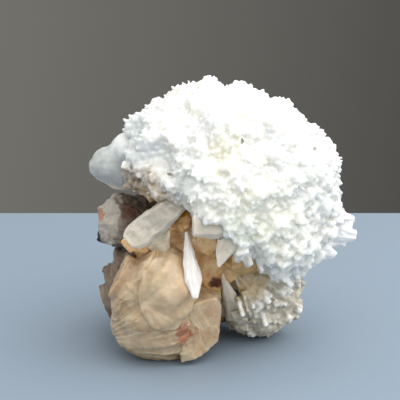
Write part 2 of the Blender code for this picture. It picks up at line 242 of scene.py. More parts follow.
def facet_group():
    """Small flat faces that each reflect their own way, as the ends of many crystals do."""
    group, given, result = new_group(
        "facets", 'ShaderNodeTree',
        (("Size", 'NodeSocketFloat', 1.0), ("Tilt", 'NodeSocketFloat', 0.3),
         ("Normal", 'NodeSocketVector', None)),
        (("Normal", 'NodeSocketVector'),))
    ask = given.outputs
    scale = maths(group, 'DIVIDE', 1.0 / MM, ask["Size"])
    cells = add_node(group, "ShaderNodeTexVoronoi", {"Vector": object_place(group), "Scale": scale})
    way = vectors(group, 'SUBTRACT', output(cells, "Color"), (0.5, 0.5, 0.5))
    turned = vectors(group, 'ADD', ask["Normal"], scaled(group, way, ask["Tilt"]))
    group.links.new(vectors(group, 'NORMALIZE', turned), result.inputs["Normal"])
    return group


PATCH = patch_group()
GRAIN = grain_group()
FACETS = facet_group()


def group_node(tree, group, **values):
    """One use of a node group in a material, with its own values."""
    named = {name.replace("_", " "): value for name, value in values.items()}
    return output(add_node(tree, "ShaderNodeGroup", named, node_tree=group))


def mix_colours(tree, first, second, share):
    """A colour part way between two, by a mask or a fixed share."""
    mixed = add_node(tree, "ShaderNodeMix", {"Factor": share, "A": first, "B": second}, data_type='RGBA')
    return output(mixed, "Result")


def opaque(colour):
    """A colour with full alpha."""
    return (*colour, 1.0)


def mineral(name, dark, pale, mottle, patches=(), grain=((0.5, 0.05),), along=(0.0, 0.0, 1.0),
            stretch=1.0, roughness=(0.35, 0.6), relief=None, facets=()):
    """A mineral's finish: mottled colour with patches on it, fine relief, and uneven gloss.

    mottle is the size of the mottling; grain lists the sizes and depths of the fine relief;
    relief is the colour of the high rims, with the heights between which it comes in and its
    share, which leaves the hollows between the rims darker: partly the pale rims of the
    crystals and partly painted shade in the hollows; and facets lists the sizes and tilts of
    small flat faces.
    """
    made = bpy.data.materials.new(name)
    made.use_nodes = True
    tree = made.node_tree
    shader = tree.nodes["Principled BSDF"]
    field = group_node(tree, GRAIN, Along=along, Stretch=stretch, Size=mottle)
    spread = output(add_node(tree, "ShaderNodeMapRange", {"Value": field, "From Min": 0.35,
                                                          "From Max": 0.65}))
    colour = mix_colours(tree, opaque(dark), opaque(pale), spread)
    if relief:
        # The high rims take the paler rim colour and the hollows keep the darker one: partly real pale
        # rims, partly painted shade in the hollows.
        rim_colour, low, high, share = relief
        height = output(add_node(tree, "ShaderNodeAttribute", attribute_name="relief"), "Fac")
        rim = output(add_node(tree, "ShaderNodeMapRange", {"Value": height, "From Min": low,
                                                           "From Max": high, "To Max": share}))
        colour = mix_colours(tree, colour, opaque(rim_colour), rim)
    for patch in patches:
        patch = dict(patch)
        patch_colour = opaque(patch.pop("colour"))
        share = patch.pop("share", 1.0)
        mask = maths(tree, 'MULTIPLY', group_node(tree, PATCH, **patch), share)
        colour = mix_colours(tree, colour, patch_colour, mask)
    tree.links.new(colour, shader.inputs["Base Color"])
    normal = None
    if facets:
        normal = output(add_node(tree, "ShaderNodeNewGeometry"), "Normal")
    for size, tilt in facets:
        normal = group_node(tree, FACETS, Size=size, Tilt=tilt, Normal=normal)
    for size, depth in grain:
        height = group_node(tree, GRAIN, Along=along, Stretch=stretch, Size=size)
        values = {"Height": height, "Distance": depth * MM, "Strength": 1.0}
        if normal is not None:
            values["Normal"] = normal
        normal = output(add_node(tree, "ShaderNodeBump", values))
    if normal is not None:
        tree.links.new(normal, shader.inputs["Normal"])
    gloss = group_node(tree, GRAIN, Along=along, Stretch=stretch, Size=0.7 * mottle)
    gloss = output(add_node(tree, "ShaderNodeMapRange",
                            {"Value": gloss, "From Min": 0.3, "From Max": 0.7,
                             "To Min": roughness[0], "To Max": roughness[1]}))
    tree.links.new(gloss, shader.inputs["Roughness"])
    return made, shader


def fit(piece, finish, slot, *nodes):
    """Gives a piece its finish and smooth shading, hangs it under the root body, and hides the imported
    solids of the nodes that it replaces.
    """
    piece.data.materials.clear()
    piece.data.materials.append(finish)
    piece.data.shade_smooth()
    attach(piece, "root")
    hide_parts(*nodes)


host_rock = closed_copy("weathered_rock", "host_rock")
fine_skin(host_rock, ROCK_VOXEL, ROCK_WEAR)
raise_skin(host_rock, lambda place, normal: lumps(place, ROCK_LUMPS) - ROCK_SINK)
rock_finish, _ = mineral(
    "weathered_basalt", ROCK_DARK, ROCK_PALE, 3.0,
    patches=(
        dict(colour=CHALK, Centre=(-42.0, 0.0, 47.0), Size=(8.0, 11.0, 12.0), Ragged=1.3, Ragged_Size=3.0),
        dict(colour=RUST, Centre=(-44.8, -2.0, 48.5), Size=(3.0, 6.0, 3.0), Ragged=1.6, Ragged_Size=1.6,
             Soft=0.5, share=0.75),
        dict(colour=RED_BROWN, Centre=(-34.0, -4.0, 50.0), Size=(4.0, 6.0, 4.5), Ragged=1.0,
             Ragged_Size=2.0, Soft=0.5, share=0.8),
        dict(colour=CHALK, Centre=(-12.0, 30.0, 44.0), Size=(16.0, 12.0, 9.0), Ragged=2.2,
             Ragged_Size=4.0, Soft=0.6, share=0.45),
        dict(colour=RUST, Centre=(-2.0, 32.0, 22.0), Size=(12.0, 10.0, 12.0), Ragged=2.4,
             Ragged_Size=3.5, Soft=0.6, share=0.35),
        dict(colour=MOSS_GREEN, Centre=(-46.5, 0.0, 42.5), Size=(2.2, 5.0, 2.0), Ragged=0.9,
             Ragged_Size=1.5, share=0.8),
        dict(colour=BLUE_BLACK, Centre=(-47.0, 1.0, 36.5), Size=(3.5, 12.0, 7.5), Ragged=0.8),
    ),
    grain=((1.2, 0.35), (0.35, 0.12)), roughness=(0.65, 0.95))
fit(host_rock, rock_finish, "host_rock", "host_rock")


# Stilbite mass
# Honey-brown stilbite that fills the hollow under the spray, glassy, with flat faces. Stubby blades
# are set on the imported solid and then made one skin, as real ones grow into one another.

BODY_VOXEL = 0.5
BODY_FACES = 110000
BODY_CLEAR = 0.8
HONEY_DARK = (0.60, 0.31, 0.10)
HONEY_PALE = (0.90, 0.64, 0.34)
HOLLOW_ORANGE_SHADE = (0.36, 0.17, 0.025)
HOLLOW_GOLD = (0.75, 0.50, 0.25)
HOLLOW_OLIVE_SHADE = (0.36, 0.23, 0.08)
MAROON = (0.10, 0.03, 0.015)
VEIN_CREAM = (0.78, 0.70, 0.54)


def soften(shader, weight, reach, colour_reach=(1.0, 0.8, 0.6)):
    """Lets light soak into a mineral and come out again within reach."""
    shader.inputs["Subsurface Weight"].default_value = weight
    shader.inputs["Subsurface Radius"].default_value = colour_reach
    shader.inputs["Subsurface Scale"].default_value = reach * MM


def polish(shader, weight, roughness):
    """Gives a mineral the glassy skin of fresh crystal faces."""
    shader.inputs["Coat Weight"].default_value = weight
    shader.inputs["Coat Roughness"].default_value = roughness


def crystal_form(name, thickness, shoulder, ridge, slant, sides):
    """One crystal of 6 or 4 sides, tip at the origin, root at -Z, one unit wide and long."""
    inner = 0.5 - 0.45 * thickness
    if sides == 6:
        outline = ((0.5, 0.0), (inner, 0.5), (-inner, 0.5), (-0.5, 0.0), (-inner, -0.5), (inner, -0.5))
    else:
        outline = ((0.5, 0.5), (-0.5, 0.5), (-0.5, -0.5), (0.5, -0.5))
    shape = bmesh.new()
    foot = [shape.verts.new((x * 0.85, y * thickness * 0.85, -1.0)) for x, y in outline]
    rim = [shape.verts.new((x, y * thickness, -shoulder * (1.0 + slant * x))) for x, y in outline]
    left = shape.verts.new((-ridge, 0.0, slant * -0.12))
    right = shape.verts.new((ridge, 0.0, 0.0))
    shape.faces.new(foot[::-1])
    for here in range(sides):
        after = (here + 1) % sides
        shape.faces.new((foot[here], foot[after], rim[after], rim[here]))
        ends = [right if outline[k][0] > 0.0 else left for k in (here, after)]
        if ends[0] is ends[1]:
            shape.faces.new((rim[here], rim[after], ends[0]))
        else:
            shape.faces.new((rim[here], rim[after], ends[1], ends[0]))
    bmesh.ops.recalc_face_normals(shape, faces=shape.faces[:])
    mesh = bpy.data.meshes.new(name)
    shape.to_mesh(mesh)
    shape.free()
    return bpy.data.objects.new(name, mesh)


def crystal_set(name, count, thickness, shoulder, sides, seed):
    """A collection of crystal forms that differ a little, for the growth tree to pick from."""
    chance = random.Random(seed)
    forms = bpy.data.collections.new(name)
    for number in range(count):
        forms.objects.link(crystal_form(
            f"{name}_{number}", chance.uniform(*thickness), chance.uniform(*shoulder),
            chance.uniform(0.05, 0.35), chance.uniform(-0.7, 0.7), sides))
    return forms


def growth_tree():
    """The tree that sets crystals on a skin, pointing away from the heart, grown in clusters."""
    tree, given, result = new_group(
        "crystal_growth", 'GeometryNodeTree',
        (("Skin", 'NodeSocketGeometry', None), ("Crystals", 'NodeSocketCollection', None),
         ("Heart", 'NodeSocketVector', None), ("Radial", 'NodeSocketFloat', 1.0),
         ("Spacing", 'NodeSocketFloat', 1.0), ("Width", 'NodeSocketVector', None),
         ("Length", 'NodeSocketVector', None), ("Proud", 'NodeSocketVector', None),
         ("Lean", 'NodeSocketFloat', 0.1), ("Cluster", 'NodeSocketFloat', 4.0),
         ("Cluster Lean", 'NodeSocketFloat', 0.3), ("Cluster Rise", 'NodeSocketFloat', 1.0),
         ("Seed", 'NodeSocketInt', 1), ("Finish", 'NodeSocketMaterial', None)),
        (("Skin", 'NodeSocketGeometry'),))
    tree.is_modifier = True

    ask = given.outputs

    def parts(vector):
        return add_node(tree, "ShaderNodeSeparateXYZ", {0: vector}).outputs

    def random_between(low, high, seed):
        numbered = maths(tree, 'ADD', ask["Seed"], seed)
        return output(add_node(tree, "FunctionNodeRandomValue", {"Min": low, "Max": high,
                                                                 "Seed": numbered}, data_type='FLOAT'))

    density = maths(tree, 'DIVIDE', 3.0, maths(tree, 'MULTIPLY', ask["Spacing"], ask["Spacing"]))
    room = output(add_node(tree, "GeometryNodeInputNamedAttribute", {"Name": "room"}, data_type='FLOAT'),
                  "Attribute")
    scatter = add_node(tree, "GeometryNodeDistributePointsOnFaces",
                       {"Mesh": ask["Skin"], "Distance Min": ask["Spacing"], "Density Max": density,
                        "Density Factor": room, "Seed": ask["Seed"]}, distribute_method='POISSON')
    place = output(add_node(tree, "GeometryNodeInputPosition"))
    away = vectors(tree, 'NORMALIZE', vectors(tree, 'SUBTRACT', place, ask["Heart"]))
    facing = output(scatter, "Normal")
    store = add_node(tree, "GeometryNodeStoreNamedAttribute",
                     {"Geometry": output(scatter, "Points"), "Name": "facing", "Value": facing},
                     data_type='FLOAT_VECTOR', domain='POINT')
    facing = output(add_node(tree, "GeometryNodeInputNamedAttribute", {"Name": "facing"},
                             data_type='FLOAT_VECTOR'), "Attribute")
    heading = output(add_node(tree, "ShaderNodeMix", {"Factor": ask["Radial"], "A": facing, "B": away},
                              data_type='VECTOR'), "Result")
    cells = add_node(tree, "ShaderNodeTexVoronoi",
                     {"Vector": place, "Scale": maths(tree, 'DIVIDE', 1.0, ask["Cluster"])})
    group_of = vectors(tree, 'SUBTRACT', output(cells, "Color"), (0.5, 0.5, 0.5))
    own = output(add_node(tree, "FunctionNodeRandomValue",
                          {"Min": (-1.0, -1.0, -1.0), "Max": (1.0, 1.0, 1.0), "Seed": ask["Seed"]},
                          data_type='FLOAT_VECTOR'))
    heading = vectors(tree, 'ADD', heading, scaled(tree, group_of, ask["Cluster Lean"]))
    heading = vectors(tree, 'NORMALIZE', vectors(tree, 'ADD', heading, scaled(tree, own, ask["Lean"])))
    turned = add_node(tree, "FunctionNodeAlignRotationToVector", {"Vector": heading}, axis='Z')
    group_parts = parts(group_of)
    spin = maths(tree, 'MULTIPLY_ADD', group_parts[2], 4.0 * math.pi, random_between(-0.5, 0.5, 1))
    about = add_node(tree, "FunctionNodeAxisAngleToRotation", {"Axis": (0.0, 0.0, 1.0), "Angle": spin})
    turned = add_node(tree, "FunctionNodeRotateRotation",
                      {"Rotation": output(turned), "Rotate By": output(about)}, rotation_space='LOCAL')
    widths, lengths, rises = (parts(ask[name]) for name in ("Width", "Length", "Proud"))
    bulk = random_between(0.0, 1.0, 2)
    spread = maths(tree, 'SUBTRACT', widths[1], widths[0])
    width = maths(tree, 'MULTIPLY', maths(tree, 'POWER', bulk, 2.0), spread)
    width = maths(tree, 'ADD', widths[0], width)
    depth = maths(tree, 'MULTIPLY', width, random_between(0.8, 1.2, 3))
    length = random_between(lengths[0], lengths[1], 4)
    rise = random_between(rises[0], rises[1], 5)
    rise = maths(tree, 'MULTIPLY_ADD', group_parts[0], ask["Cluster Rise"], rise)
    size = output(add_node(tree, "ShaderNodeCombineXYZ", {0: width, 1: depth, 2: length}))
    points = add_node(tree, "GeometryNodeSetPosition",
                      {"Geometry": output(store), "Offset": scaled(tree, heading, rise)})
    picks = add_node(tree, "GeometryNodeCollectionInfo",
                     {"Collection": ask["Crystals"], "Separate Children": True, "Reset Children": True})
    crystals = add_node(tree, "GeometryNodeInstanceOnPoints",
                        {"Points": output(points), "Instance": output(picks), "Pick Instance": True,
                         "Rotation": output(turned), "Scale": size})
    whole = add_node(tree, "GeometryNodeJoinGeometry")
    tree.links.new(output(crystals), whole.inputs[0])
    tree.links.new(ask["Skin"], whole.inputs[0])
    solid = add_node(tree, "GeometryNodeRealizeInstances", {"Geometry": output(whole)})
    dressed = add_node(tree, "GeometryNodeSetMaterial",
                       {"Geometry": output(solid), "Material": ask["Finish"]})
    tree.links.new(output(dressed), result.inputs[0])
    return tree


GROWTH = growth_tree()


def search_tree(*solids):
    """A search tree over the skins of some objects, in millimetres."""
    corners, faces = [], []
    for solid in solids:
        start = len(corners)
        corners += [vertex.co / MM for vertex in solid.data.vertices]
        faces += [[start + corner for corner in face.vertices] for face in solid.data.polygons]
    return bvhtree.BVHTree.FromPolygons(corners, faces)


def neighbours(*own):
    """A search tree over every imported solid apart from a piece's own."""
    return search_tree(*(node for name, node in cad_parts.items() if name not in own))


def leave_room(piece, others, clearance, wanted=None):
    """Marks where crystals may grow: only where wanted, and not on a foot or against a neighbour."""
    places, normals = read_points(piece.data)
    room = np.ones(len(places))
    for number, (place, normal) in enumerate(zip(places, normals)):
        if place[2] < clearance or others.find_nearest(Vector(place), clearance)[0] is not None:
            room[number] = 0.0
        elif wanted is not None:
            room[number] = wanted(Vector(place), Vector(normal))
    kept = piece.data.attributes.new("room", 'FLOAT', 'POINT')
    kept.data.foreach_set("value", room)


def grow_crystals(piece, forms, finish, **sizes):
    """Runs the growth tree on a piece; all sizes are in millimetres."""
    growth = piece.modifiers.new("growth", 'NODES')
    growth.node_group = GROWTH
    given = {"Crystals": forms, "Finish": finish, **sizes}
    for socket in GROWTH.interface.items_tree:
        if socket.in_out == 'INPUT' and socket.name in given:
            growth[socket.identifier] = given[socket.name]
    apply_modifiers(piece)
    places, _ = read_points(piece.data)
    write_points(piece.data, places)


def grow_together(piece, voxel, most_faces):
    """Makes one skin of crystals that grew into one another, with no more faces than given."""
    fine_skin(piece, voxel, 0)
    thin = piece.modifiers.new("thin", 'DECIMATE')
    thin.ratio = min(1.0, most_faces / (2.0 * len(piece.data.polygons)))
    apply_modifiers(piece)


def growth_sizes(heart, spacing, width, length, proud, cluster, rise, lean, cluster_lean, seed,
                 radial=1.0):
    """The growth tree's inputs in metres, from sizes in millimetres."""
    return {"Heart": [MM * x for x in heart], "Radial": radial, "Spacing": MM * spacing,
            "Width": [MM * x for x in (*width, 0.0)], "Length": [MM * x for x in (*length, 0.0)],
            "Proud": [MM * x for x in (*proud, 0.0)], "Cluster": MM * cluster, "Cluster Rise": MM * rise,
            "Lean": lean, "Cluster Lean": cluster_lean, "Seed": seed}


honey_finish, honey_shader = mineral(
    "honey_stilbite", HONEY_DARK, HONEY_PALE, 5.0,
    patches=(
        # Partly the honey colour, partly painted shade: dark orange on the roof of the hollow under the
        # spray.
        dict(colour=HOLLOW_ORANGE_SHADE, Centre=(-15.0, -14.0, 54.0), Size=(12.0, 20.0, 8.0), Ragged=0.6,
             Ragged_Size=3.0, Soft=0.6, share=0.95),
        dict(colour=VEIN_CREAM, Centre=(-12.0, -17.0, 44.0), Size=(5.0, 8.0, 3.0), Ragged=2.2,
             Ragged_Size=1.4, share=0.7),
        dict(colour=HOLLOW_GOLD, Centre=(-6.0, -17.0, 42.5), Size=(6.0, 8.0, 3.5), Ragged=1.2,
             Ragged_Size=2.0, Soft=0.6, share=0.8),
        # Painted shade: olive-brown over the honey colour, on the stilbite behind the crust that the spray
        # shades.
        dict(colour=HOLLOW_OLIVE_SHADE, Centre=(8.5, -16.0, 33.0), Size=(10.0, 9.0, 7.0), Ragged=1.2,
             Ragged_Size=3.0, Soft=0.6, share=0.8),
        dict(colour=MAROON, Centre=(-2.6, -14.0, 26.5), Size=(3.4, 8.0, 2.6), Ragged=0.8,
             Ragged_Size=2.0, Soft=0.5),
    ),
    grain=((1.4, 0.04),), roughness=(0.08, 0.30), facets=((4.5, 0.5), (1.8, 0.4)))
soften(honey_shader, 0.6, 2.5, (1.0, 0.5, 0.2))
polish(honey_shader, 0.3, 0.06)
stubby_blades = crystal_set("stubby_blade", 5, (0.22, 0.45), (0.05, 0.2), 6, 7)
body = closed_copy("honey_mass", "stilbite_body")
fine_skin(body, BODY_VOXEL, 1)
leave_room(body, neighbours("stilbite_body"), BODY_CLEAR)
grow_crystals(body, stubby_blades, honey_finish, **growth_sizes(
    heart=(-4.0, 6.0, 30.0), spacing=4.0, width=(6.0, 12.0), length=(4.0, 7.0), proud=(-1.0, 0.3),
    cluster=11.0, rise=1.2, lean=0.08, cluster_lean=0.5, seed=4, radial=0.5))
grow_together(body, BODY_VOXEL, BODY_FACES)
fit(body, honey_finish, "stilbite_honey", "stilbite_body")


# Stilbite sheaves
# Peach stilbite in the shape of a wheat sheaf: thin leaves that fan out from a waist at the lower
# left, their edges showing as fine lines and ledges. The grey-brown one behind grew the same way.

SHEAF_VOXEL = 0.33
SOFT_VOXEL = 1.1
FRONT_HINGE = (-50.6, 4.0)
SIDE_HINGE = (-28.6, -16.0)
BLOCK_HINGE = (-60.0, 90.0)
LEAF_SWAY = (9.0, 0.06)
LEAF_BEND = (3.0, 0.02)
LEDGE_DRIFT = (14.0, 0.8)
LEDGE_PATCH = 6.0
LINE_RUN = (0.07, 0.12)
LINE_DEPTH = 0.12
GRIT = (1.3, 0.12)
PEACH_DARK = (0.41, 0.28, 0.16)
PEACH_PALE = (0.57, 0.45, 0.295)
PEACH_RIM = (0.58, 0.49, 0.35)
PEACH_EDGE_GLOW = (0.62, 0.37, 0.17)
PEACH_SHADE_UNDER_PADDLE = (0.40, 0.25, 0.12)
PEACH_LOW_HIGHLIGHT = (0.68, 0.59, 0.46)
RUST_STAIN = (0.30, 0.07, 0.02)
GREY_DARK = (0.11, 0.075, 0.05)
GREY_PALE = (0.22, 0.165, 0.115)
GREY_RIM = (0.34, 0.28, 0.21)
FAN_HUB = (-27.0, 25.0)
FAN_REACH = 6.0
FAN_LINES = ((0.06, 0.08, 14.0, 1.0), (0.10, 0.15, 34.0, 0.7))
FAN_LINE_DEPTH = 0.07
FAN_LEAF_DEPTH = 0.35
FAN_GRIT = (1.5, 0.10)
PLATE_MIDDLE = (-19.5, 28.0)
PLATE_RADII = (10.0, 13.0)
PLATE_BACK = -12.0
PLATE_RAGGED = (4.0, 0.10)
PLATE_EDGE = 0.07
FRONT_SINK = 0.25
LEDGE_SHARE = 0.7
BLOCK_RISE = 0.25
SEAM = (-14.2, 6.5)
SEAM_REACH = 3.0
SEAM_RISE = 1.3
SEAM_FOOT = (2.0, 5.0)


def leaf_edges(hinge, leaves, fine, seed, depth=0.8):
    """The relief of leaves that fan out from a hinge line: broken ledges with fine lines on them."""
    def relief(place, normal):
        across, up = place.x - hinge[0], place.z - hinge[1]
        reach = math.hypot(across, up)
        turn = math.atan2(up, across) + LEAF_SWAY[1] * noise.noise(place / LEAF_SWAY[0])
        bend = LEAF_BEND[1] * noise.noise(place / LEAF_BEND[0] + Vector((seed, 0.0, 0.0)))
        drift = LEDGE_DRIFT[1] * noise.noise(place / LEDGE_DRIFT[0] + Vector((0.0, seed, 0.0)))
        ledge = (turn + bend) * leaves + drift
        step = ledge - math.floor(ledge)
        patch = noise.noise(place / LEDGE_PATCH + Vector((math.floor(ledge), seed, 0.0)))
        size = max(0.0, 0.6 + 1.2 * patch)
        line = noise.noise(Vector((LINE_RUN[0] * reach, LINE_RUN[1] * place.y,
                                   (turn + 0.3 * bend) * fine)))
        grit = GRIT[1] * noise.noise(place / GRIT[0])
        return depth * size * (step ** 3 - 0.3) + LINE_DEPTH * line + grit
    return relief


def fan_plate(place):
    """How far a point of the front sheaf lies on the smooth plate that covers its upper right."""
    across = (place.x - PLATE_MIDDLE[0]) / PLATE_RADII[0]
    up = (place.z - PLATE_MIDDLE[1]) / PLATE_RADII[1]
    edge = math.hypot(across, up) + PLATE_RAGGED[1] * noise.noise(place / PLATE_RAGGED[0])
    if place.y > PLATE_BACK or edge > 1.0:
        return 0.0
    return min(1.0, (1.0 - edge) / PLATE_EDGE)


def slit(place):
    """How far the front sheaf and the block rise to close up with each other at their foot."""
    across, up = place.x - SEAM[0], place.z - SEAM[1]
    foot = min(1.0, max(0.0, (place.z - SEAM_FOOT[0]) / (SEAM_FOOT[1] - SEAM_FOOT[0])))
    return foot * SEAM_RISE * max(0.0, 1.0 - math.hypot(across, 0.5 * up) / SEAM_REACH)


def front_relief(place, normal):
    """Ledges at the foot of the front sheaf, and lines that fan out from a hub over its plate."""
    plate = fan_plate(place)
    across, up = place.x - FAN_HUB[0], place.z - FAN_HUB[1]
    reach = math.hypot(across, up)
    turn = math.atan2(up, across)
    near = min(1.0, reach / FAN_REACH)
    line = sum(share * noise.noise(Vector((out * reach, back * place.y, fine * turn)))
               for out, back, fine, share in FAN_LINES)
    leaf = noise.noise(Vector((0.05 * reach, 0.05 * place.y, 3.0 * turn + 5.0)))
    grit = FAN_GRIT[1] * noise.noise(place / FAN_GRIT[0])
    plain = FAN_LINE_DEPTH * near * line + FAN_LEAF_DEPTH * near * leaf + grit + slit(place)
    return plain + plate - FRONT_SINK + (1.0 - plate) * LEDGE_SHARE * FRONT_LEDGES(place, normal)


FRONT_LEDGES = leaf_edges(FRONT_HINGE, leaves=10.0, fine=60.0, seed=2.0, depth=1.1)
SIDE_LEDGES = leaf_edges(SIDE_HINGE, leaves=12.0, fine=70.0, seed=9.0)
BLOCK_LEDGES = leaf_edges(BLOCK_HINGE, leaves=14.0, fine=60.0, seed=5.0, depth=0.4)

peach_finish, peach_shader = mineral(
    "peach_stilbite", PEACH_DARK, PEACH_PALE, 4.5,
    patches=(
        # Painted glow: deeper orange at the upper right edge of the front sheaf.
        dict(colour=PEACH_EDGE_GLOW, Centre=(-11.0, -28.0, 34.0), Size=(9.0, 12.0, 13.0), Ragged=1.0,
             Ragged_Size=5.0, Soft=0.9, share=0.6),
        # Painted shade: brown on the upper left of the front sheaf, under the paddle.
        dict(colour=PEACH_SHADE_UNDER_PADDLE, Centre=(-39.0, -20.0, 27.0), Size=(10.0, 14.0, 12.0), Ragged=1.0,
             Ragged_Size=5.0, Soft=0.9, share=0.7),
        # Painted highlight: pale cream on the lower left edges of the front sheaf.
        dict(colour=PEACH_LOW_HIGHLIGHT, Centre=(-31.0, -28.0, 9.0), Size=(18.0, 12.0, 9.0), Ragged=1.0,
             Ragged_Size=4.0, Soft=0.9, share=0.15),
        dict(colour=RUST_STAIN, Centre=(-13.5, -28.0, 13.0), Size=(4.5, 6.0, 5.5), Ragged=2.2,
             Ragged_Size=1.8, Soft=0.6, share=0.7),
    ),
    grain=((0.5, 0.04),), relief=(PEACH_RIM, 0.0, 1.2, 0.5), roughness=(0.22, 0.45))
soften(peach_shader, 1.0, 3.5, (1.0, 0.7, 0.45))
polish(peach_shader, 0.35, 0.18)
front = closed_copy("leafy_sheaf", "stilbite_sheaf_front")
fine_skin(front, SOFT_VOXEL, 8)
fine_skin(front, SHEAF_VOXEL, 6)
raise_skin(front, front_relief)
fit(front, peach_finish, "stilbite_peach", "stilbite_sheaf_front")

grey_finish, grey_shader = mineral(
    "grey_stilbite", GREY_DARK, GREY_PALE, 5.0, relief=(GREY_RIM, 0.0, 0.6, 0.6), roughness=(0.35, 0.65))
soften(grey_shader, 0.5, 1.5, (1.0, 0.6, 0.35))
side = closed_copy("side_sheaf", "stilbite_sheaf_side")
fine_skin(side, SOFT_VOXEL, 6)
fine_skin(side, SHEAF_VOXEL, 4)
raise_skin(side, SIDE_LEDGES)
fit(side, grey_finish, "stilbite_grey", "stilbite_sheaf_side")

block = closed_copy("peach_block", "stilbite_block")
fine_skin(block, SHEAF_VOXEL, 2)
raise_skin(block, lambda place, normal: BLOCK_LEDGES(place, normal) + BLOCK_RISE + slit(place))
fit(block, peach_finish, "stilbite_peach", "stilbite_block")


# Scolecite spray
# The white dome: thousands of glassy white scolecite crystals that radiate from one heart, so that
# only their ends show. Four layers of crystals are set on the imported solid, coarse, finer between
# them, long at the lower rim and blocky at the lower left, and then made one skin.

SPRAY_HEART = (0.0, -17.0, 76.0)
RIM_HEART = (3.4, -6.0, 62.0)
SPRAY_LUMPS = ((12.0, 1.1), (5.0, 0.5))
SPRAY_SINK = 0.8
SPRAY_BASE = 1.0
SPRAY_VOXEL = 0.4
SPRAY_FACES = 185000
CLEARANCE = 0.4
PEAK = Vector((-5.5, 3.0, 97.0))
PEAK_RADIUS = 5.5
PEAK_RISE = 3.0
NOTCH = Vector((-15.0, -26.5, 54.5))
NOTCH_RADIUS = 7.5
NOTCH_SINK = 6.0
NOTCH_BARE = 0.8
EAVE = Vector((-1.0, -27.0, 58.5))
EAVE_RADIUS = 10.0
EAVE_RISE = 4.5
JOIN_REACH = 2.5
SPRAY_JOIN = 1.6
RIM_TOP = 56.0
RIM_LEFT = 4.0
RIM_FACING = 0.15
BLOCKY_RIGHT = -17.0
BLOCKY_TOP = 69.0
BLOCKY_BACK = 6.0
WHITE_COOL = (0.77, 0.785, 0.775)
WHITE_WARM = (0.81, 0.805, 0.755)
WHITE_LEFT_SHADE = (0.64, 0.68, 0.68)
CREAM_CENTRE = (0.88, 0.865, 0.70)
CREAM_AND_LIGHT_LOWER = (0.96, 0.935, 0.81)
BEIGE_LOWER_LEFT_SHADE = (0.44, 0.32, 0.19)
DARK_SPOTS = (0.20, 0.16, 0.12)
OLIVE_FLECK = (0.10, 0.09, 0.05)
GREEN_FLECK = (0.10, 0.11, 0.04)
BROWN_FLECK = (0.16, 0.11, 0.07)
SCOLECITE_IOR = 1.52


def grown_on(others, place, reach, rise):
    """How far a skin rises to close up with a neighbour that it grew against."""
    found = others.find_nearest(place, reach)
    return 0.0 if found[0] is None else rise * (1.0 - found[3] / reach)


def spray_relief(place, normal):
    """Soft lumps where crystals grew in clusters, and the cluster that stands up at the top."""
    peak = max(0.0, 1.0 - (place - PEAK).length / PEAK_RADIUS)
    notch = max(0.0, 1.0 - (place - NOTCH).length / NOTCH_RADIUS)
    eave = max(0.0, 1.0 - (place - EAVE).length / EAVE_RADIUS)
    closed = grown_on(SPRAY_NEIGHBOURS, place, JOIN_REACH, SPRAY_JOIN)
    forms = PEAK_RISE * peak - NOTCH_SINK * notch + EAVE_RISE * eave
    return lumps(place, SPRAY_LUMPS, 3.0) - SPRAY_SINK + forms + closed


SPRAY_NEIGHBOURS = neighbours("scolecite_spray")


def open_notch(place, normal):
    """Where crystals may grow on the spray: all over, apart from the roof of the hollow."""
    return 0.0 if (place - NOTCH).length < NOTCH_BARE * NOTCH_RADIUS else 1.0


def merge(piece, other):
    """Adds another object's mesh to a piece."""
    shape = bmesh.new()
    shape.from_mesh(piece.data)
    shape.from_mesh(other.data)
    shape.to_mesh(piece.data)
    shape.free()
    bpy.data.objects.remove(other)


def lower_rim(place, normal):
    """Where the long blades hang out: the spray's lower edge from the middle to the right."""
    return 0.0 if place.z > RIM_TOP or place.x < RIM_LEFT or normal.z > RIM_FACING else 1.0


def lower_left(place, normal):
    """Where blocky ends stand out: above the paddle and under the knob."""
    return 1.0 if place.x < BLOCKY_RIGHT and place.z < BLOCKY_TOP and place.y < BLOCKY_BACK else 0.0


